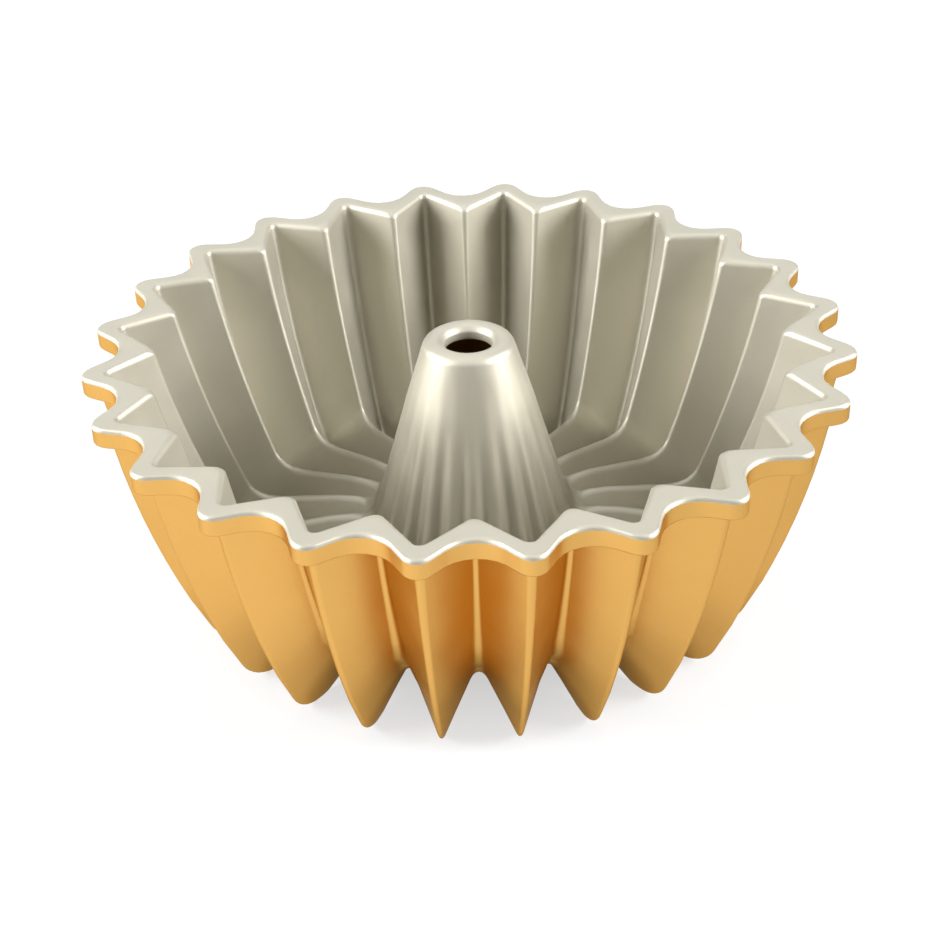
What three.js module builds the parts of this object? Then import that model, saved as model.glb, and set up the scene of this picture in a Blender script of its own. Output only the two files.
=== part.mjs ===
// A fluted tube pan: one aluminium casting, a release coat on its mould side and a gold coat outside.
// Millimetres, +Z up, origin on the standing plane below the centre of the tube.
// The section of the pan is drawn twice, once through a crest of the flutes and once through a groove.
import * as THREE from "three";

// Whole pan
const FLUTES = 24;
const HEIGHT = 95.5;
const WALL = 2.6;
const COAT = 0.3;
const FLUTE_FLAT = 2.2;

// Mouth and rim flange: the rim is a tip outside each groove, and a valley outside each crest
const MOUTH_RADIUS = 105.2;
const MOUTH_FLUTE = 15;
const MOUTH_EDGE = 1.5;
const RIM_TIP_WIDTH = 7.8;
const RIM_VALLEY_WIDTH = 10.8;
const RIM_TIP_FLAT = 7;
const RIM_THICKNESS = 7;
const RIM_EDGE = 1.2;

// Wall and floor: they meet at the heel, and a groove of the floor rises from its toe to the tube
const WALL_LEAN = 22.9;
const WALL_BOW = 290;
const FLOOR_HEIGHT = 21;
const HEEL_FLUTE = 10.6;
const HEEL_LENGTH = 8.5;
const CREST_FILLET = 10;
const GROOVE_FILLET = 8;

// Tube: its flutes start at the hub, where it meets the floor, and fade out above it
const HOLE_RADIUS = 7.5;
const LIP_WIDTH = 2.5;
const LIP_DEPTH = 2.3;
const TOP_RING = 4.9;
const TUBE_TOP = 5;
const TUBE_SHOULDER = 3;
const TUBE_TAPER = THREE.MathUtils.degToRad(17.2);
const HUB_RISE = 5.4;
const HUB_FLUTE = 2.5;
const HUB_FILLET = 8;
const FADE_RISE = 46;

// How finely the skins are drawn, and what counts as on the ground
const COLUMNS = 3;
const HEEL_STEPS = 2;
const FILLET_ROOM = 0.75;
const GROUND = 1e-6;

const HALF_PITCH = Math.PI / FLUTES;
const FRONT = -Math.PI / 2;

// A point of a section: x is its radius and y its height.
const at = (radius, height) => new THREE.Vector2(radius, height);

// The unit step to the left of the way from a to b. Every line is drawn with the metal on that side.
const leftOf = (a, b) => at(a.y - b.y, b.x - a.x).normalize();

// The step that takes a corner of a line one millimetre into the metal.
function mitre(before, corner, after) {
  const arriving = leftOf(before, corner);
  const leaving = leftOf(corner, after);
  return arriving.clone().add(leaving).divideScalar(1 + arriving.dot(leaving));
}

// How much further the edge of a V-shaped flute moves than its flat sides do.
function steepness(crest, groove) {
  const halfWidth = ((crest.x + groove.x) / 2) * HALF_PITCH;
  return Math.hypot(1, crest.distanceTo(groove) / halfWidth);
}

// The metal straight down below a groove of the floor, beside a crest of this radius and height.
function thicknessBeside(crest) {
  const halfWidth = crest.x * HALF_PITCH;
  const slack = halfWidth ** 2 - WALL ** 2;
  const lean = WALL ** 2 * crest.y;
  const reach = WALL ** 2 * (halfWidth ** 2 + crest.y ** 2);
  return (Math.sqrt(lean ** 2 + slack * reach) - lean) / slack;
}

// A point on the outward-bowed arc of the wall.
function bowed(top, bottom, share) {
  const half = top.distanceTo(bottom) / 2;
  const centre = top.clone().lerp(bottom, 0.5);
  centre.addScaledVector(leftOf(top, bottom), -Math.sqrt(WALL_BOW ** 2 - half ** 2));
  return top.clone().rotateAround(centre, -2 * Math.asin(half / WALL_BOW) * share);
}

const sharp = (point) => ({ point, fillet: 0 });
const filleted = (point, fillet, steps = 1) => ({ point, fillet, steps });

// The points of one corner: itself, or an arc that takes up only a share of the lines beside it.
function cornerPoints(before, { point, fillet, steps }, after) {
  if (!fillet) return [point];
  const toBefore = before.point.clone().sub(point);
  const toAfter = after.point.clone().sub(point);
  const room = FILLET_ROOM * Math.min(toBefore.length(), toAfter.length());
  toBefore.normalize();
  toAfter.normalize();
  const half = Math.acos(toBefore.dot(toAfter)) / 2;
  const radius = Math.min(fillet, room * Math.tan(half));
  const start = point.clone().addScaledVector(toBefore, radius / Math.tan(half));
  const inward = toBefore.clone().add(toAfter).normalize();
  const centre = point.clone().addScaledVector(inward, radius / Math.sin(half));
  const turn = Math.sign(toAfter.cross(toBefore)) * (Math.PI - 2 * half);
  return Array.from({ length: steps + 1 }, (_, i) => start.clone().rotateAround(centre, (turn * i) / steps));
}

function linePoints(corners) {
  const line = Object.values(corners);
  return line.flatMap((corner, i) => cornerPoints(line[i - 1], corner, line[i + 1]));
}

// Places that both sections share
const lipRadius = HOLE_RADIUS + LIP_WIDTH;
const tubeAt = (height) => at(lipRadius + TOP_RING + (HEIGHT - height) * Math.tan(TUBE_TAPER), height);
const crestHeel = at(MOUTH_RADIUS - WALL_LEAN, FLOOR_HEIGHT);
const footThickness = thicknessBeside(crestHeel);
const grooveHeel = at(crestHeel.x + HEEL_FLUTE, footThickness);
const hubHeight = FLOOR_HEIGHT + HUB_RISE;
const fade = tubeAt(hubHeight + FADE_RISE);
const crestHub = tubeAt(hubHeight);
const grooveHub = crestHub.clone().addScaledVector(mitre(crestHeel, crestHub, fade), HUB_FLUTE);
const crestToe = crestHeel.clone().lerp(crestHub, HEEL_LENGTH / crestHeel.distanceTo(crestHub));

// The mould side of a section, from the top of the rim down the wall, along the floor and up the tube.
function mouldSide({ mouthRadius, rimWidth, heel, heelFillet, toe, hub }) {
  const mouth = at(mouthRadius, HEIGHT);
  return {
    rim: sharp(at(mouthRadius + rimWidth - RIM_EDGE, HEIGHT)),
    mouth: filleted(mouth, MOUTH_EDGE),
    upper: sharp(bowed(mouth, heel, 1 / 3)),
    lower: sharp(bowed(mouth, heel, 2 / 3)),
    heel: filleted(heel, heelFillet, HEEL_STEPS),
    toe: sharp(toe),
    hub: filleted(hub, HUB_FILLET),
    fade: sharp(fade),
    shoulder: filleted(tubeAt(HEIGHT), TUBE_SHOULDER),
    lip: sharp(at(lipRadius, HEIGHT)),
    hole: sharp(at(HOLE_RADIUS, HEIGHT - LIP_DEPTH)),
  };
}

const crestMould = mouldSide({
  mouthRadius: MOUTH_RADIUS,
  rimWidth: RIM_VALLEY_WIDTH,
  heel: crestHeel,
  heelFillet: CREST_FILLET,
  toe: crestToe,
  hub: crestHub,
});
const grooveMould = mouldSide({
  mouthRadius: MOUTH_RADIUS + MOUTH_FLUTE,
  rimWidth: RIM_TIP_WIDTH,
  heel: grooveHeel,
  heelFillet: GROOVE_FILLET,
  toe: at(grooveHeel.x - HEEL_LENGTH, footThickness),
  hub: grooveHub,
});

const depthAt = (name) => WALL * steepness(crestMould[name].point, grooveMould[name].point);

// Where the outside of the wall meets the underside of the rim flange.
function flangeRoot({ mouth, upper }) {
  const depth = depthAt("mouth");
  const outward = leftOf(mouth.point, upper.point);
  const share = (RIM_THICKNESS + depth * outward.y) / (HEIGHT - upper.point.y);
  return mouth.point.clone().lerp(upper.point, share).addScaledVector(outward, depth);
}

// The outside of a section, from the hole down inside the tube, along the underside and up the wall.
function outerSide(mould) {
  const { mouth, upper, lower, heel, toe, hub, fade, shoulder } = mould;
  const behind = (before, corner, after, depth) => ({
    ...corner,
    point: corner.point.clone().addScaledVector(mitre(before.point, corner.point, after.point), depth),
    fillet: corner.fillet && corner.fillet + depth,
  });
  const ceiling = HEIGHT - TUBE_TOP;
  return {
    hole: sharp(at(HOLE_RADIUS, ceiling)),
    top: sharp(at(tubeAt(ceiling).x - WALL / Math.cos(TUBE_TAPER), ceiling)),
    fade: behind(hub, fade, shoulder, WALL),
    hub: behind(toe, hub, fade, depthAt("hub")),
    toe: behind(heel, toe, hub, footThickness),
    heel: behind(lower, heel, toe, footThickness),
    lower: behind(upper, lower, heel, depthAt("lower")),
    upper: behind(mouth, upper, lower, depthAt("upper")),
    root: sharp(flangeRoot(mould)),
  };
}

// The rows of the coated pan's skin, in one closed loop round the section from the edge of the rim.
const pair = (crest, groove, flat = FLUTE_FLAT) => ({ crest, groove, flat });
const pairs = (crests, grooves) => crests.map((crest, i) => pair(crest, grooves[i]));
const rimRow = (inset, drop) =>
  pair(
    at(MOUTH_RADIUS + RIM_VALLEY_WIDTH - inset, HEIGHT - drop),
    at(MOUTH_RADIUS + MOUTH_FLUTE + RIM_TIP_WIDTH - inset, HEIGHT - drop),
    RIM_TIP_FLAT,
  );
const mouldRows = pairs(linePoints(crestMould), linePoints(grooveMould));
mouldRows[0].flat = RIM_TIP_FLAT;
const outerRows = pairs(linePoints(outerSide(crestMould)), linePoints(outerSide(grooveMould)));
const coated = [rimRow(0, RIM_EDGE), ...mouldRows, ...outerRows, rimRow(0, RIM_THICKNESS)];
const holeRow = 1 + mouldRows.length;

const wrapped = (list, i) => list[(i + list.length) % list.length];

// The rows of the bare metal. Each foot stands on a bare land, so there the metal is flush with the coat.
function baredPoint(name, i) {
  const [before, row, after] = [i - 1, i, i + 1].map((k) => wrapped(coated, k));
  if (row[name].y < GROUND) return row[name];
  const inward = mitre(before[name], row[name], after[name]);
  return row[name].clone().addScaledVector(inward, COAT * steepness(row.crest, row.groove));
}
const bared = coated.map(({ flat }, i) => pair(baredPoint("crest", i), baredPoint("groove", i), flat));

// One ring of points round the pan: a blunt edge of two points at each groove, and one at each crest.
function ring({ crest, groove, flat }) {
  const blunt = Math.min(flat / 2 / groove.x, HALF_PITCH / COLUMNS);
  const place = ({ x, y }, turn) => new THREE.Vector3(x * Math.cos(turn), x * Math.sin(turn), y);
  const grooveTurns = Array.from({ length: FLUTES }, (_, i) => FRONT + (2 * i + 1) * HALF_PITCH);
  return grooveTurns.flatMap((turn) => [
    place(groove, turn - blunt),
    place(groove, turn + blunt),
    place(crest, turn + HALF_PITCH),
  ]);
}

const coatedSkin = coated.map(ring);
const baredSkin = bared.map(ring);

// The four corners of one cell of a skin, facing out. The two sides of a flute mirror each other.
function cell(skin, i, j) {
  const [row, next] = [wrapped(skin, i), wrapped(skin, i + 1)];
  const corners = [row[j], wrapped(row, j + 1), wrapped(next, j + 1), next[j]];
  return j % COLUMNS === COLUMNS - 1 ? [...corners.slice(1), corners[0]] : corners;
}

const facingIn = ([a, b, c, d]) => [a, d, c, b];
const isLand = (corners) => corners.every((corner) => corner.z < GROUND);

function solid(cells) {
  const points = cells.flatMap(([a, b, c, d]) => [a, b, c, a, c, d]);
  const geometry = new THREE.BufferGeometry().setFromPoints(points);
  geometry.computeVertexNormals();
  return geometry;
}

const casting = () => solid(baredSkin.flatMap((row, i) => row.map((_, j) => cell(baredSkin, i, j))));

// A film over the rows from first to last, with both edges closed and the lands of the feet left bare.
function film(first, last) {
  const cells = [];
  const [startOut, startIn] = [wrapped(coatedSkin, first), wrapped(baredSkin, first)];
  const [endOut, endIn] = [wrapped(coatedSkin, last), wrapped(baredSkin, last)];
  startOut.forEach((_, j) => {
    for (let i = first; i < last; i++) {
      const outside = cell(coatedSkin, i, j);
      if (!isLand(outside)) cells.push(outside, facingIn(cell(baredSkin, i, j)));
    }
    cells.push([wrapped(startOut, j + 1), startOut[j], startIn[j], wrapped(startIn, j + 1)]);
    cells.push([wrapped(endOut, j + 1), wrapped(endIn, j + 1), endIn[j], endOut[j]]);
  });
  return solid(cells);
}

function piece(name, geometry, color, roughness, metalness) {
  const mesh = new THREE.Mesh(geometry, new THREE.MeshStandardMaterial({ color, roughness, metalness }));
  mesh.name = name;
  return mesh;
}

const pan = new THREE.Group();
pan.add(
  piece("cast_body", casting(), 0xb4b6b8, 0.45, 0.9),
  piece("inner_release_coat", film(0, holeRow), 0xc9c4b2, 0.4, 0.7),
  piece("outer_gold_coat", film(holeRow, coated.length), 0xc98a35, 0.4, 0.6),
);

export default pan;
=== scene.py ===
import math

import bpy
from mathutils import Matrix, Vector, kdtree


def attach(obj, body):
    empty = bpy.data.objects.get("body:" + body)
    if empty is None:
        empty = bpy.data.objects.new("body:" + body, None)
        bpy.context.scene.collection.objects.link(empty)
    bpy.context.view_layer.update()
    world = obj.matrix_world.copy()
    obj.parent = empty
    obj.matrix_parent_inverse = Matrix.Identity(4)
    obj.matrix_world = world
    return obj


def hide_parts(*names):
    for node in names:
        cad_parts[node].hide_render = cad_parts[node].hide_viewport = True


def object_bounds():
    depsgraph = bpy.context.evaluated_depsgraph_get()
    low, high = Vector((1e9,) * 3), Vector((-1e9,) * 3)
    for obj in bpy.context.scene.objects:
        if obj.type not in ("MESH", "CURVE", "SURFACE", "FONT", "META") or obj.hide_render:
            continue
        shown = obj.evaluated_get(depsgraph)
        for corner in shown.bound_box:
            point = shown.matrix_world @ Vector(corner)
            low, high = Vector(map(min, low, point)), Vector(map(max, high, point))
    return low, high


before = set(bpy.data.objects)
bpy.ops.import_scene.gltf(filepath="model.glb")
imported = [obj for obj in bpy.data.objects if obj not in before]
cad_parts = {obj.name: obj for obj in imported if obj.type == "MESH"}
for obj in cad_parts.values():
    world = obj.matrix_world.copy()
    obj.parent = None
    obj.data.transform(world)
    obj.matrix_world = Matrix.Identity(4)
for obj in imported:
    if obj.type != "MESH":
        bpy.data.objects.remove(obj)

cad_low, cad_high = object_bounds()
MM = 0.001

# Whole pan
FLUTES = 24
HEIGHT = cad_high.z
WALL = 2.6 * MM
COAT = 0.3 * MM
HALF_PITCH = math.pi / FLUTES

# Mouth and rim flange
MOUTH_RADIUS = 105.2 * MM
MOUTH_FLUTE = 15 * MM
MOUTH_EDGE = 3.2 * MM
RIM_TIP_WIDTH = 8.75 * MM
RIM_VALLEY_WIDTH = 11.0 * MM
RIM_THICKNESS = 7 * MM
RIM_TOP_EDGE = 1.4 * MM
RIM_LOW_EDGE = 0.8 * MM
RIM_ROOT = 1.6 * MM
RIM_TOP_SHARES = (0.35, 0.7)
RIM_UNDER_SHARES = (0.3, 0.6)

# Wall and floor
WALL_LEAN = 22.9 * MM
WALL_BOW = 290 * MM
WALL_SHARES = [0.1, 0.2, 0.3, 0.4, 0.5, 0.6, 0.7, 0.8]
FLOOR_HEIGHT = 21 * MM
HEEL_FLUTE = 10.6 * MM
HEEL_LENGTH = 8.5 * MM
CREST_FILLET = 10 * MM
GROOVE_FILLET = 8 * MM
TOE_REACH = 1.9 * MM
FLOOR_SHARES = [0.2, 0.4, 0.6, 0.8]
ARCH_RISE = 2.0 * MM
FOOT_GRIND = 0.4 * MM

# Tube
HOLE_RADIUS = 8.1 * MM
LIP_WIDTH = 1.9 * MM
LIP_DEPTH = 2.0 * MM
LIP_EDGE = 2.4 * MM
HOLE_EDGE = 1.2 * MM
TOP_RING = 4.9 * MM
TUBE_TOP = 5 * MM
TUBE_SHOULDER = 4 * MM
TUBE_TAPER = math.radians(17.2)
HUB_RISE = 5.4 * MM
HUB_FLUTE = 3.3 * MM
HUB_FILLET = 8 * MM
FADE_RISE = 46 * MM
FADE_SHARES = [0.2, 0.4, 0.6, 0.8]

# How far each crest and each groove is bevelled to either side, along the rows
BEVEL_SEGMENTS = 6
BEVEL_ROOM = 0.9
BEVEL_WIDTH = 10 * MM
RIM_ROUND = (11.5 * MM, 7.0 * MM)
MOULD_ROUND = (1.0 * MM, 2.2 * MM)
TOE_ROUND = (4.5 * MM, 3.0 * MM)
HEEL_ROUNDS = (MOULD_ROUND, (3.0 * MM, 2.6 * MM), TOE_ROUND)
FLOOR_ROUND = (8.0 * MM, 2.5 * MM)
TUBE_ROUND = (0.9 * MM, 1.2 * MM)
NECK_ROUND = (0.3 * MM, 0.3 * MM)
OUTSIDE_ROUND = (1.1 * MM, 2.0 * MM)
ARCH_ROUND = (7.0 * MM, 2.0 * MM)
UNDERSIDE_ROUND = (5.0 * MM, 1.6 * MM)

# Modelling
CREST, GROOVE = 0, 1
SILVER_SIDE, GOLD_SIDE, BARE_LAND = 0, 1, 2
FILLET_ROOM = 0.75
ARC_APEX = 2 - math.sqrt(2)
SEED_SIZE = 1 * MM
WELD = 0.005 * MM
CUT_TOLERANCE = WELD / 10
FACING_DOWN = -0.99
SHARP_ANGLE = math.radians(40)
TUBE_REACH = 60 * MM

# Finishes. The edge is the tint of the metal where it is seen at a slant.
RELEASE_SILVER = {
    "dull": (0.485, 0.461, 0.381),
    "bright": (0.525, 0.5, 0.416),
    "roughness": 0.5,
    "metallic": 0.63,
}
GOLD_PAINT = {
    "dull": (0.655, 0.368, 0.1),
    "bright": (0.695, 0.393, 0.112),
    "roughness": 0.36,
    "metallic": 1.0,
    "edge": (0.68, 0.58, 0.45),
}
BARE_ALUMINIUM = {
    "dull": (0.70, 0.71, 0.72),
    "bright": (0.78, 0.79, 0.80),
    "roughness": 0.42,
    "metallic": 1.0,
}

# Patch size and detail of each noise, the usual span of a noise, and how far each acts
MOTTLE = (14 * MM, 3)
FLAKES = (0.35 * MM, 1)
SPRAY_SKIN = (1.6 * MM, 2)
NOISE_LOW, NOISE_HIGH = 0.3, 0.7
MOTTLE_SHARE = (0.25, 0.75)
FLAKE_SHARE = (0.0, 0.16)
FLAKE_LIFT = 1.2
ROUGHNESS_SPREAD = 0.04
SKIN_STRENGTH = 0.06
SKIN_DEPTH = 0.05 * MM

# Floor. Each range is a distance from the pan's middle, and the sides are places along X.
FLOOR_SIZE = 8.0
FLOOR_GAP = 0.05 * MM
FLOOR_COLOUR = (0.20, 0.218, 0.232)
FLOOR_ROUGHNESS = 0.9
# Painted shadow round the pan: in the picture the floor's glow rises from the first level below to
# the second, over the range of distances on the third line.
FLOOR_PAINTED_SHADE = 0.58
FLOOR_LIFT = 0.78
FLOOR_PAINTED_SHADOW = (0.06, 0.103)
FLOOR_FAR = (0.3, 1.2)
# Painted light in reflections: the floor seen in gloss glows at the first level on the left and
# the second on the right, over the span of X on the next line.
FLOOR_PAINTED_SIDE_LIGHT = (1.0, 0.58)
FLOOR_SIDE_LIGHT_SPAN = (-0.05, 0.3)
# Painted shadow in reflections: the floor seen in gloss has no glow near the pan, rising to full
# glow over this range of distances.
FLOOR_REFLECTED_PAINTED_SHADOW = (0.06, 0.122)

# Backdrop and the panel overhead
WHITE = (1, 1, 1, 1)
AMBIENT = 0.03
CEILING = 0.05
HORIZON = (0.0, 0.18)
PANEL_WAY = (0, -0.26, 0.966)
PANEL_EDGE = (0.4, 0.95)
PANEL_LEVEL = 1.2

# Lamps, all aimed at one point: place, width, height and level
LAMP_AIM = Vector((0, 0, 0.05))
SOFTBOXES = {
    "left_softbox": ((-1.25, -0.2, 0.65), 0.9, 0.7, 17),
    "right_softbox": ((1.25, -0.25, 0.65), 0.7, 0.7, 20),
    "back_softbox": ((0, 1.3, 1.05), 2.6, 1.0, 1.35),
    "top_softbox": ((0, 0.2, 1.6), 0.9, 0.9, 0.7),
}

# Camera
PHOTO_PIXELS = 936
FOCAL_PIXELS = 1772.1
SENSOR = 36
CAMERA_PLACE = Vector((0, -0.52291, 0.3792))
CAMERA_PITCH = math.radians(32.68)
CAMERA_YAW = math.radians(-0.17)
CAMERA_ROLL = math.radians(-1.9077)

# Places that both section lines share
lip_radius = HOLE_RADIUS + LIP_WIDTH
hub_height = FLOOR_HEIGHT + HUB_RISE
ceiling = HEIGHT - TUBE_TOP


# Section lines


def at(radius, height):
    return Vector((radius, height))


def left_of(a, b):
    """The unit step to the left of the way from a to b, where the metal is."""
    return Vector((a.y - b.y, b.x - a.x)).normalized()


def mitre(before, corner, after):
    """The step that takes a corner of a line one unit into the metal."""
    arriving = left_of(before, corner)
    leaving = left_of(corner, after)
    return (arriving + leaving) / (1 + arriving.dot(leaving))


def steepness(crest, groove):
    """How much further the edge of a V-shaped flute moves than its flat sides do."""
    half_width = (crest.x + groove.x) / 2 * HALF_PITCH
    return math.hypot(1, (crest - groove).length / half_width)


def thickness_beside(crest):
    """The metal straight down below a groove of the floor, beside a crest there."""
    half_width = crest.x * HALF_PITCH
    slack = half_width**2 - WALL**2
    lean = WALL**2 * crest.y
    reach = WALL**2 * (half_width**2 + crest.y**2)
    return (math.sqrt(lean**2 + slack * reach) - lean) / slack


def bowed(top, bottom, share):
    """A point on the outward-bowed arc of the wall."""
    half = (top - bottom).length / 2
    centre = top.lerp(bottom, 0.5) - left_of(top, bottom) * math.sqrt(WALL_BOW**2 - half**2)
    turn = -2 * math.asin(half / WALL_BOW) * share
    return centre + Matrix.Rotation(turn, 2) @ (top - centre)


def graded(rounds, others, share):
    """The bevels at a share of the way from some to others."""
    return [a + (b - a) * share for a, b in zip(rounds, others)]


def arc_point(start, corner, end, weight, share):
    """A point on the circular arc from start to end that is tangent to both sides of a corner."""
    a = (1 - share) ** 2
    b = 2 * weight * share * (1 - share)
    c = share**2
    return (start * a + corner * b + end * c) / (a + b + c)


class Corner:
    """A corner of both section lines, with its fillets, its steps and its bevels."""

    def __init__(self, crest, groove, *rounds, fillets=(0, 0), steps=1, reach=0):
        self.lines = (crest, groove)
        self.rounds = rounds
        self.fillets = fillets
        self.steps = steps
        self.reach = reach

    def points(self, before, after, line):
        """The corner itself on one line, or the arc that rounds it."""
        corner = self.lines[line]
        if not self.fillets[line] and not self.reach:
            return [corner]
        back = before.lines[line] - corner
        on = after.lines[line] - corner
        half = back.angle(on) / 2
        reach = self.reach or self.fillets[line] / math.tan(half)
        reach = min(reach, FILLET_ROOM * back.length, FILLET_ROOM * on.length)
        start = corner + back.normalized() * reach
        end = corner + on.normalized() * reach
        shares = [i / self.steps for i in range(self.steps + 1)]
        return [arc_point(start, corner, end, math.sin(half), share) for share in shares]

    def rounds_at(self, share):
        """The bevels at a share of the way round the corner, where several are spaced evenly."""
        along = share * (len(self.rounds) - 1)
        i = math.ceil(along)
        return graded(self.rounds[i - 1], self.rounds[i], along - i + 1)


def both(point, rounds, **rest):
    """A corner where the crest line and the groove line meet."""
    return Corner(point, point.copy(), rounds, **rest)


def between(a, b, share, rounds):
    """A corner part of the way from one to another."""
    return Corner(*[a.lines[i].lerp(b.lines[i], share) for i in (CREST, GROOVE)], rounds)


def tube_at(height):
    return at(lip_radius + TOP_RING + (HEIGHT - height) * math.tan(TUBE_TAPER), height)


def mould_corners():
    """The mould side, from the mouth down the wall, along the floor and up the tube to its hole.

    The height of a groove's heel comes with it, which is also the metal under the floor.
    """
    crest_mouth = at(MOUTH_RADIUS, HEIGHT)
    groove_mouth = at(MOUTH_RADIUS + MOUTH_FLUTE, HEIGHT)
    crest_heel = at(MOUTH_RADIUS - WALL_LEAN, FLOOR_HEIGHT)
    foot = thickness_beside(crest_heel)
    groove_heel = at(crest_heel.x + HEEL_FLUTE, foot)
    fade = tube_at(hub_height + FADE_RISE)
    crest_hub = tube_at(hub_height)
    groove_hub = crest_hub + mitre(crest_heel, crest_hub, fade) * HUB_FLUTE
    crest_toe = crest_heel.lerp(crest_hub, HEEL_LENGTH / (crest_heel - crest_hub).length)
    groove_toe = at(groove_heel.x - HEEL_LENGTH, foot)
    corners = {}
    corners["mouth"] = Corner(
        crest_mouth, groove_mouth, MOULD_ROUND, fillets=(MOUTH_EDGE,) * 2, steps=4
    )
    for share in WALL_SHARES:
        corners[f"wall {share}"] = Corner(
            bowed(crest_mouth, crest_heel, share),
            bowed(groove_mouth, groove_heel, share),
            MOULD_ROUND,
        )
    corners["heel"] = Corner(
        crest_heel, groove_heel, *HEEL_ROUNDS, fillets=(CREST_FILLET, GROOVE_FILLET), steps=7
    )
    corners["toe"] = Corner(crest_toe, groove_toe, TOE_ROUND, reach=TOE_REACH, steps=4)
    for share in FLOOR_SHARES:
        corners[f"floor {share}"] = Corner(
            crest_toe.lerp(crest_hub, share),
            groove_toe.lerp(groove_hub, share),
            graded(TOE_ROUND, FLOOR_ROUND, share),
        )
    corners["hub"] = Corner(
        crest_hub, groove_hub, FLOOR_ROUND, fillets=(HUB_FILLET,) * 2, steps=6
    )
    for share in FADE_SHARES:
        corners[f"flute {share}"] = Corner(
            crest_hub.lerp(fade, share), groove_hub.lerp(fade, share), TUBE_ROUND
        )
    corners["fade"] = both(fade, TUBE_ROUND)
    corners["shoulder"] = both(
        tube_at(HEIGHT), NECK_ROUND, fillets=(TUBE_SHOULDER,) * 2, steps=6
    )
    corners["lip"] = both(at(lip_radius, HEIGHT), NECK_ROUND, fillets=(LIP_EDGE,) * 2, steps=4)
    corners["hole"] = both(
        at(HOLE_RADIUS, HEIGHT - LIP_DEPTH), NECK_ROUND, fillets=(HOLE_EDGE,) * 2, steps=2
    )
    return corners, foot


def outer_corners(mould, foot):
    """The outside, from the hole down inside the tube, along the underside and up the wall."""
    names = list(mould)

    def behind(name, depth, rounds, rise=0, grind=0):
        corner = mould[name]
        i = names.index(name)
        moved = []
        for line in (CREST, GROOVE):
            before, here, after = [mould[names[k]].lines[line] for k in (i - 1, i, i + 1)]
            moved.append(here + mitre(before, here, after) * depth)
        moved[CREST].y += rise
        moved[GROOVE].y -= grind
        fillets = [f and f + depth for f in corner.fillets]
        return Corner(*moved, rounds, fillets=fillets, steps=corner.steps, reach=corner.reach)

    def behind_flute(name, rounds):
        return behind(name, WALL * steepness(*mould[name].lines), rounds)

    top = at(tube_at(ceiling).x - WALL / math.cos(TUBE_TAPER), ceiling)
    corners = [
        both(at(HOLE_RADIUS, ceiling), NECK_ROUND),
        both(top, NECK_ROUND, fillets=(TUBE_SHOULDER,) * 2, steps=4),
        behind("fade", WALL, TUBE_ROUND),
    ]
    for share in reversed(FADE_SHARES):
        corners.append(behind_flute(f"flute {share}", TUBE_ROUND))
    corners.append(behind_flute("hub", UNDERSIDE_ROUND))
    for share in reversed(FLOOR_SHARES):
        corners.append(behind(f"floor {share}", foot, UNDERSIDE_ROUND))
    for name in ("toe", "heel"):
        corners.append(behind(name, foot, ARCH_ROUND, rise=ARCH_RISE, grind=FOOT_GRIND))
    for share in reversed(WALL_SHARES):
        corners.append(behind_flute(f"wall {share}", OUTSIDE_ROUND))
    return corners


def rim_corner(drop, fillet, steps):
    """The outer edge of the rim flange, so far below its top."""
    valley = at(MOUTH_RADIUS + RIM_VALLEY_WIDTH, HEIGHT - drop)
    tip = at(MOUTH_RADIUS + MOUTH_FLUTE + RIM_TIP_WIDTH, HEIGHT - drop)
    return Corner(valley, tip, RIM_ROUND, fillets=(fillet,) * 2, steps=steps)


def flange_root(mould):
    """Where the outside of the wall meets the underside of the rim flange."""
    mouth = mould["mouth"]
    below = mould[f"wall {WALL_SHARES[0]}"]
    depth = WALL * steepness(*mouth.lines)
    roots = []
    for top, low in zip(mouth.lines, below.lines):
        outward = left_of(top, low)
        share = (RIM_THICKNESS + depth * outward.y) / (HEIGHT - low.y)
        roots.append(top.lerp(low, share) + outward * depth)
    return Corner(*roots, OUTSIDE_ROUND, fillets=(RIM_ROOT,) * 2, steps=3)


def section_corners():
    """The corners of the closed section: those of the mould side and those of the outside."""
    mould, foot = mould_corners()
    rim_top = rim_corner(0, RIM_TOP_EDGE, steps=4)
    rim_low = rim_corner(RIM_THICKNESS, RIM_LOW_EDGE, steps=3)
    root = flange_root(mould)
    inside = [
        rim_top,
        between(rim_top, mould["mouth"], RIM_TOP_SHARES[0], RIM_ROUND),
        between(rim_top, mould["mouth"], RIM_TOP_SHARES[1], MOULD_ROUND),
        *mould.values(),
    ]

    def clear_of_flange(corner):
        crest = corner.lines[CREST]
        return crest.y < root.lines[CREST].y or crest.x < MOUTH_RADIUS / 2

    outside = [
        *filter(clear_of_flange, outer_corners(mould, foot)),
        root,
        between(root, rim_low, RIM_UNDER_SHARES[0], OUTSIDE_ROUND),
        between(root, rim_low, RIM_UNDER_SHARES[1], RIM_ROUND),
        rim_low,
    ]
    return inside, outside


def place(point, turn):
    """A section point in space, turned from the plane that faces the front."""
    return Vector((point.x * math.sin(turn), -point.x * math.cos(turn), point.y))


def sharpened(crest, groove, rounds):
    """A row moved out at both ends, so that its bevelled edges come back to where they were."""
    across = math.cos(HALF_PITCH)
    span = place(groove, HALF_PITCH) - place(crest, 0)
    fit = min(1, BEVEL_ROOM * span.length / sum(rounds))
    rounds = [width * fit for width in rounds]
    crest_way = crest - at(groove.x * across, groove.y)
    groove_way = groove - at(crest.x * across, crest.y)
    crest_out = crest_way * (ARC_APEX * rounds[CREST] / span.length)
    groove_out = groove_way * (ARC_APEX * rounds[GROOVE] / span.length)
    return crest + crest_out, groove + groove_out, rounds


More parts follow.
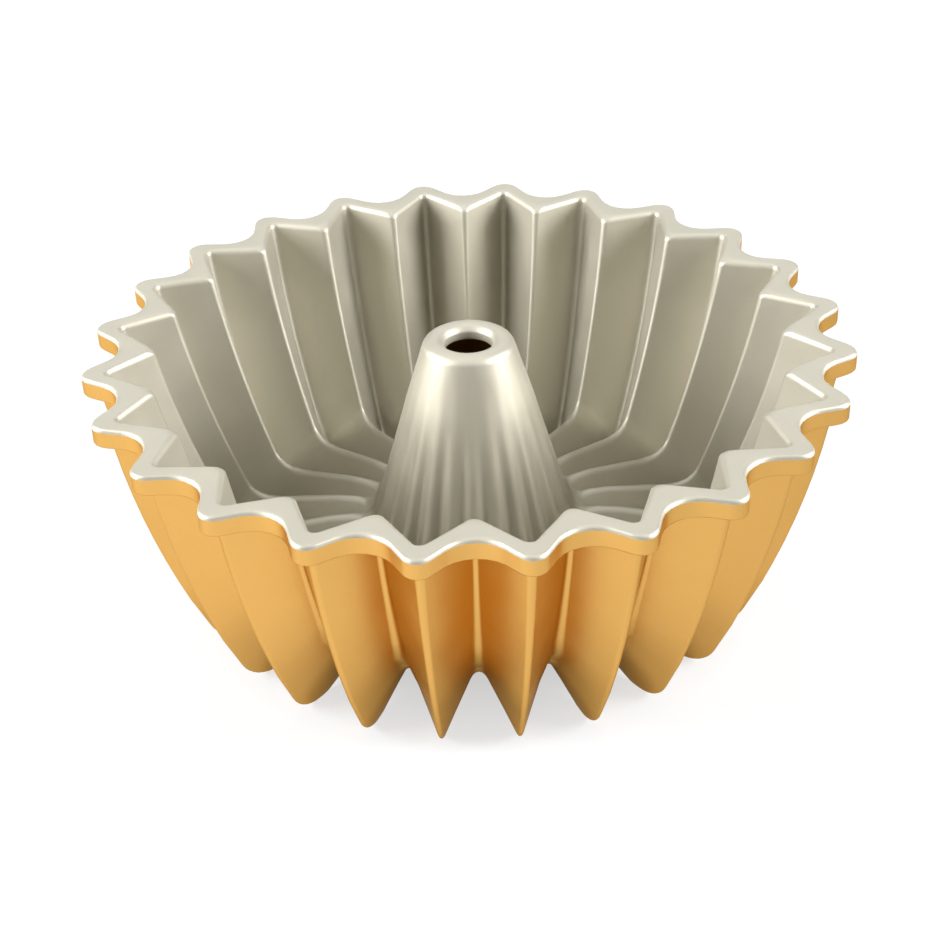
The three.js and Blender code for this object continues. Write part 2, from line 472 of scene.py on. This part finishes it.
def section_rows(corners):
    """The rows of each corner: a crest point, a groove point and the bevels of both."""
    rows = []
    for i, corner in enumerate(corners):
        before = corners[i - 1]
        after = corners[(i + 1) % len(corners)]
        crests = corner.points(before, after, CREST)
        grooves = corner.points(before, after, GROOVE)
        rows.append(
            [
                sharpened(crest, groove, corner.rounds_at(k / corner.steps))
                for k, (crest, groove) in enumerate(zip(crests, grooves))
            ]
        )
    return rows


# Modelling


def select_nothing():
    bpy.ops.object.select_all(action="DESELECT")


def only(piece):
    """Selects one piece alone and makes it the active one."""
    select_nothing()
    piece.select_set(True)
    bpy.context.view_layer.objects.active = piece


def edit(mode="VERT"):
    bpy.ops.object.mode_set(mode="EDIT")
    bpy.ops.mesh.select_mode(type=mode)


def leave_edit():
    bpy.ops.object.mode_set(mode="OBJECT")


def finish_with(piece, kind, **settings):
    """Adds a modifier to a piece and applies it."""
    only(piece)
    bpy.ops.object.modifier_add(type=kind)
    modifier = piece.modifiers[-1]
    for name, value in settings.items():
        setattr(modifier, name, value)
    bpy.ops.object.modifier_apply(modifier=modifier.name)


def draw_line(points):
    """Draws a line in edit mode, from a small plane that is merged to its first point."""
    bpy.ops.mesh.select_all(action="DESELECT")
    bpy.ops.mesh.primitive_plane_add(size=SEED_SIZE)
    bpy.ops.mesh.merge(type="CENTER")
    bpy.ops.transform.translate(value=points[0])
    for here, there in zip(points, points[1:]):
        bpy.ops.mesh.extrude_vertices_move(TRANSFORM_OT_translate={"value": there - here})


def half_flute(rows):
    """A strip from a crest line to the groove line beside it, all round the closed section."""
    loop = rows + rows[:1]
    select_nothing()
    bpy.ops.mesh.primitive_plane_add(size=SEED_SIZE)
    strip = bpy.context.object
    edit()
    bpy.ops.mesh.delete(type="VERT")
    draw_line([place(crest, 0) for crest, _, _ in loop])
    draw_line([place(groove, HALF_PITCH) for _, groove, _ in loop])
    bpy.ops.mesh.select_all(action="SELECT")
    bpy.ops.mesh.bridge_edge_loops(type="SINGLE")
    leave_edit()
    return strip


def weigh(strip, rows, hole_row):
    """Gives each crest and groove edge its bevel, and each face the coat that it carries."""
    count = len(rows)
    tree = kdtree.KDTree(2 * count)
    for i, (crest, groove, _) in enumerate(rows):
        tree.insert(place(crest, 0), i)
        tree.insert(place(groove, HALF_PITCH), count + i)
    tree.balance()
    found = [tree.find(v.co)[1] for v in strip.data.vertices]
    weights = strip.data.attributes.new("bevel_weight_edge", "FLOAT", "EDGE")
    for edge in strip.data.edges:
        a, b = [found[v] for v in edge.vertices]
        line = a // count
        if b // count == line:
            width = (rows[a % count][2][line] + rows[b % count][2][line]) / 2
            weights.data[edge.index].value = width / BEVEL_WIDTH
    for face in strip.data.polygons:
        last_row = max(found[v] % count for v in face.vertices)
        face.material_index = GOLD_SIDE if last_row > hole_row else SILVER_SIDE


def whole_skin(strip):
    """Mirrors the strip to one flute, spins it round the pan and rounds its crests and grooves."""
    finish_with(strip, "MIRROR", merge_threshold=WELD)
    edit()
    bpy.ops.mesh.select_all(action="SELECT")
    bpy.ops.mesh.spin(
        steps=FLUTES - 1,
        dupli=True,
        angle=2 * math.pi * (FLUTES - 1) / FLUTES,
        center=(0, 0, 0),
        axis=(0, 0, 1),
    )
    bpy.ops.mesh.select_all(action="SELECT")
    bpy.ops.mesh.remove_doubles(threshold=WELD)
    bpy.ops.mesh.normals_make_consistent(inside=False)
    leave_edit()
    finish_with(
        strip,
        "BEVEL",
        limit_method="WEIGHT",
        offset_type="OFFSET",
        width=BEVEL_WIDTH,
        segments=BEVEL_SEGMENTS,
        use_clamp_overlap=False,
    )
    return strip


def grind_feet(skin):
    """Cuts every foot flat where it stands, and marks the cut faces as bare metal."""
    only(skin)
    edit("FACE")
    bpy.ops.mesh.select_all(action="SELECT")
    bpy.ops.mesh.bisect(
        plane_co=(0, 0, 0),
        plane_no=(0, 0, 1),
        use_fill=True,
        clear_inner=True,
        threshold=CUT_TOLERANCE,
    )
    leave_edit()
    for face in skin.data.polygons:
        if abs(face.center.z) < WELD and face.normal.z < FACING_DOWN:
            face.material_index = BARE_LAND


def copied(piece, name):
    only(piece)
    bpy.ops.object.duplicate()
    copy = bpy.context.object
    copy.name = copy.data.name = name
    return copy


def keep_faces(piece, side):
    """Deletes all faces of a copy of the skin but those of one coat."""
    only(piece)
    edit("FACE")
    bpy.ops.mesh.select_all(action="DESELECT")
    leave_edit()
    for face in piece.data.polygons:
        face.select = face.material_index != side
    edit("FACE")
    bpy.ops.mesh.delete(type="FACE")
    leave_edit()


def smooth(piece):
    """Smooth shading that keeps the flanks of the wall flat between their rounded edges."""
    wall = piece.vertex_groups.new(name="wall")
    outer = [v.index for v in piece.data.vertices if v.co.xy.length > TUBE_REACH]
    wall.add(outer, 1, "REPLACE")
    only(piece)
    bpy.ops.object.shade_smooth_by_angle(angle=SHARP_ANGLE)
    finish_with(piece, "WEIGHTED_NORMAL", keep_sharp=True, vertex_group="wall")


def casting(skin, name):
    """The metal under both coats. Its feet stay on the ground, flush with the gold coat."""
    body = copied(skin, name)
    standing = [v.index for v in body.data.vertices if abs(v.co.z) < WELD]
    edit()
    bpy.ops.mesh.select_all(action="SELECT")
    bpy.ops.transform.shrink_fatten(value=-COAT)
    bpy.ops.mesh.select_all(action="DESELECT")
    leave_edit()
    for i in standing:
        body.data.vertices[i].select = True
    edit()
    bpy.ops.transform.resize(value=(1, 1, 0), center_override=(0, 0, 0))
    leave_edit()
    smooth(body)
    return body


def coat(skin, name, side):
    """A coat is the skin's own faces, thickened into the metal."""
    film = copied(skin, name)
    keep_faces(film, side)
    finish_with(film, "SOLIDIFY", thickness=COAT, offset=-1, use_quality_normals=True)
    smooth(film)
    return film


# Finishes


def new_finish(name):
    """A new finish, with its node tree, its shader and its Object coordinates."""
    finish = bpy.data.materials.new(name)
    finish.use_nodes = True
    tree = finish.node_tree
    coordinates = tree.nodes.new("ShaderNodeTexCoord").outputs["Object"]
    return finish, tree, tree.nodes["Principled BSDF"], coordinates


def noise(tree, coordinates, size, detail):
    """Noise whose patches are about this size, in metres."""
    node = tree.nodes.new("ShaderNodeTexNoise")
    node.inputs["Scale"].default_value = 1 / size
    node.inputs["Detail"].default_value = detail
    tree.links.new(coordinates, node.inputs["Vector"])
    return node.outputs["Fac"]


def ranged(tree, value, low, high, start=NOISE_LOW, end=NOISE_HIGH):
    """A value stretched from start..end to low..high."""
    node = tree.nodes.new("ShaderNodeMapRange")
    tree.links.new(value, node.inputs["Value"])
    node.inputs["From Min"].default_value = start
    node.inputs["From Max"].default_value = end
    node.inputs["To Min"].default_value = low
    node.inputs["To Max"].default_value = high
    return node.outputs["Result"]


def mixed(tree, share, low, high):
    """A colour between two others, each a colour or another node's output."""
    node = tree.nodes.new("ShaderNodeMix")
    node.data_type = "RGBA"
    tree.links.new(share, node.inputs["Factor"])
    a, b = [i for i in node.inputs if i.type == "RGBA"]
    for socket, colour in ((a, low), (b, high)):
        if isinstance(colour, bpy.types.NodeSocket):
            tree.links.new(colour, socket)
        else:
            socket.default_value = (*colour, 1)
    return [o for o in node.outputs if o.type == "RGBA"][0]


def maths(tree, operation, a, b):
    """A number worked out from two others."""
    node = tree.nodes.new("ShaderNodeMath")
    node.operation = operation
    tree.links.new(a, node.inputs[0])
    tree.links.new(b, node.inputs[1])
    return node.outputs[0]


def satin_metal(name, dull, bright, roughness, metallic, edge=(1, 1, 1)):
    """Sprayed metallic satin: fine flakes, a faint mottle and the soft skin of sprayed paint."""
    finish, tree, shader, coordinates = new_finish(name)
    shader.inputs["Roughness"].default_value = roughness
    shader.inputs["Metallic"].default_value = metallic
    shader.inputs["Specular Tint"].default_value = (*edge, 1)
    mottle = noise(tree, coordinates, *MOTTLE)
    flakes = noise(tree, coordinates, *FLAKES)
    skin = noise(tree, coordinates, *SPRAY_SKIN)
    colour = mixed(tree, ranged(tree, mottle, *MOTTLE_SHARE), dull, bright)
    flake = [min(1, c * FLAKE_LIFT) for c in bright]
    flaked = mixed(tree, ranged(tree, flakes, *FLAKE_SHARE), colour, flake)
    tree.links.new(flaked, shader.inputs["Base Color"])
    rough = ranged(tree, mottle, roughness - ROUGHNESS_SPREAD, roughness + ROUGHNESS_SPREAD)
    tree.links.new(rough, shader.inputs["Roughness"])
    bump = tree.nodes.new("ShaderNodeBump")
    bump.inputs["Strength"].default_value = SKIN_STRENGTH
    bump.inputs["Distance"].default_value = SKIN_DEPTH
    tree.links.new(skin, bump.inputs["Height"])
    tree.links.new(bump.outputs["Normal"], shader.inputs["Normal"])
    return finish


# Studio


def seen_rays(tree):
    """Which rays see the background in the picture, and which see it in gloss or through glass."""
    path = tree.nodes.new("ShaderNodeLightPath").outputs
    gloss = maths(tree, "MAXIMUM", path["Is Glossy Ray"], path["Is Transmission Ray"])
    return path["Is Camera Ray"], gloss


def floor():
    """A pale floor that reads as white. Its glow holds a painted shadow near the pan, in the
    picture and in reflections, and a painted side light that is brighter on the left in
    reflections; the pan's own soft shadow falls on it as well.
    """
    select_nothing()
    bpy.ops.mesh.primitive_plane_add(size=FLOOR_SIZE, location=(0, 0, -FLOOR_GAP))
    ground = bpy.context.object
    ground.name = "studio_floor"
    paint, tree, shader, coordinates = new_finish("floor_paint")
    shader.inputs["Base Color"].default_value = (*FLOOR_COLOUR, 1)
    shader.inputs["Roughness"].default_value = FLOOR_ROUGHNESS
    shader.inputs["Specular IOR Level"].default_value = 0.0
    shader.inputs["Emission Color"].default_value = WHITE
    distance = tree.nodes.new("ShaderNodeVectorMath")
    distance.operation = "LENGTH"
    tree.links.new(coordinates, distance.inputs[0])
    away = distance.outputs["Value"]
    sides = tree.nodes.new("ShaderNodeSeparateXYZ")
    tree.links.new(coordinates, sides.inputs[0])
    camera, gloss = seen_rays(tree)
    # Painted shadow: the glow seen in the picture is painted darker near the pan.
    painted_shadow = ranged(tree, away, FLOOR_PAINTED_SHADE, FLOOR_LIFT, *FLOOR_PAINTED_SHADOW)
    far = ranged(tree, away, 0, 1 - FLOOR_LIFT, *FLOOR_FAR)
    seen = maths(tree, "ADD", painted_shadow, far)
    # Painted light and shadow in reflections: the glow is brighter on the left than on the right,
    # and dark near the pan.
    level = ranged(tree, sides.outputs["X"], *FLOOR_PAINTED_SIDE_LIGHT, *FLOOR_SIDE_LIGHT_SPAN)
    painted_light_and_shadow_in_gloss = maths(tree, "MULTIPLY", level, ranged(tree, away, 0, 1, *FLOOR_REFLECTED_PAINTED_SHADOW))
    in_picture = maths(tree, "MULTIPLY", camera, seen)
    in_gloss = maths(tree, "MULTIPLY", gloss, painted_light_and_shadow_in_gloss)
    lift = maths(tree, "ADD", in_picture, in_gloss)
    tree.links.new(lift, shader.inputs["Emission Strength"])
    ground.data.materials.append(paint)


def backdrop():
    """A white studio with a soft panel overhead, which lights the pan only softly."""
    world = bpy.data.worlds.new("white_studio")
    bpy.context.scene.world = world
    world.use_nodes = True
    tree = world.node_tree
    background = tree.nodes["Background"]
    background.inputs["Color"].default_value = WHITE
    way = tree.nodes.new("ShaderNodeTexCoord").outputs["Generated"]
    direction = tree.nodes.new("ShaderNodeSeparateXYZ")
    tree.links.new(way, direction.inputs[0])
    towards = tree.nodes.new("ShaderNodeVectorMath")
    towards.operation = "DOT_PRODUCT"
    tree.links.new(way, towards.inputs[0])
    towards.inputs[1].default_value = PANEL_WAY
    horizon = ranged(tree, direction.outputs["Z"], 1, CEILING, *HORIZON)
    panel = ranged(tree, towards.outputs["Value"], 0, PANEL_LEVEL, *PANEL_EDGE)
    room = maths(tree, "ADD", horizon, panel)
    camera, gloss = seen_rays(tree)
    lit = tree.nodes.new("ShaderNodeMapRange")
    tree.links.new(gloss, lit.inputs["Value"])
    lit.inputs["To Min"].default_value = AMBIENT
    tree.links.new(room, lit.inputs["To Max"])
    strength = maths(tree, "MAXIMUM", lit.outputs["Result"], camera)
    tree.links.new(strength, background.inputs["Strength"])


def softbox(name, spot, wide, high, level):
    """A lamp that faces the pan. Its level is how bright its face is beside a white backdrop."""
    light = bpy.data.lights.new(name, "AREA")
    light.shape = "RECTANGLE"
    light.size = wide
    light.size_y = high
    light.energy = level * math.pi * wide * high
    lamp = bpy.data.objects.new(name, light)
    bpy.context.scene.collection.objects.link(lamp)
    lamp.location = spot
    lamp.rotation_euler = (LAMP_AIM - Vector(spot)).to_track_quat("-Z", "Y").to_euler()


def photo_camera():
    """The camera of the photograph, found by fitting the rim and the feet to it."""
    camera = bpy.data.objects.new("camera", bpy.data.cameras.new("camera"))
    bpy.context.scene.collection.objects.link(camera)
    bpy.context.scene.camera = camera
    camera.data.sensor_width = SENSOR
    camera.data.lens = SENSOR * FOCAL_PIXELS / PHOTO_PIXELS
    forward = Vector(
        (
            math.sin(CAMERA_YAW) * math.cos(CAMERA_PITCH),
            math.cos(CAMERA_YAW) * math.cos(CAMERA_PITCH),
            -math.sin(CAMERA_PITCH),
        )
    )
    level = Vector((math.cos(CAMERA_YAW), -math.sin(CAMERA_YAW), 0))
    upright = level.cross(forward)
    right = level * math.cos(CAMERA_ROLL) + upright * math.sin(CAMERA_ROLL)
    up = upright * math.cos(CAMERA_ROLL) - level * math.sin(CAMERA_ROLL)
    turn = Matrix((right, up, -forward)).transposed()
    camera.matrix_world = Matrix.Translation(CAMERA_PLACE) @ turn.to_4x4()


# The pan

inside, outside = section_corners()
rows_by_corner = section_rows(inside + outside)
rows = sum(rows_by_corner, [])
hole_row = len(sum(rows_by_corner[: len(inside)], []))
strip = half_flute(rows)
weigh(strip, rows, hole_row)
skin = whole_skin(strip)
grind_feet(skin)
body = casting(skin, "pan_casting")
silver = coat(skin, "pan_release_coat", SILVER_SIDE)
gold = coat(skin, "pan_gold_coat", GOLD_SIDE)
bpy.data.objects.remove(skin)

bare_metal = satin_metal("bare_aluminium", **BARE_ALUMINIUM)
silver_coat = satin_metal("release_silver", **RELEASE_SILVER)
gold_coat = satin_metal("gold_paint", **GOLD_PAINT)
for piece, node, slot, finish in (
    (body, "cast_body", "cast_aluminium", bare_metal),
    (silver, "inner_release_coat", "release_coat", silver_coat),
    (gold, "outer_gold_coat", "gold_coat", gold_coat),
):
    piece.data.materials.clear()
    piece.data.materials.append(finish)
    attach(piece, "root")
    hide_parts(node)

floor()
backdrop()
for name, settings in SOFTBOXES.items():
    softbox(name, *settings)
photo_camera()
bpy.context.scene.view_settings.view_transform = "Standard"
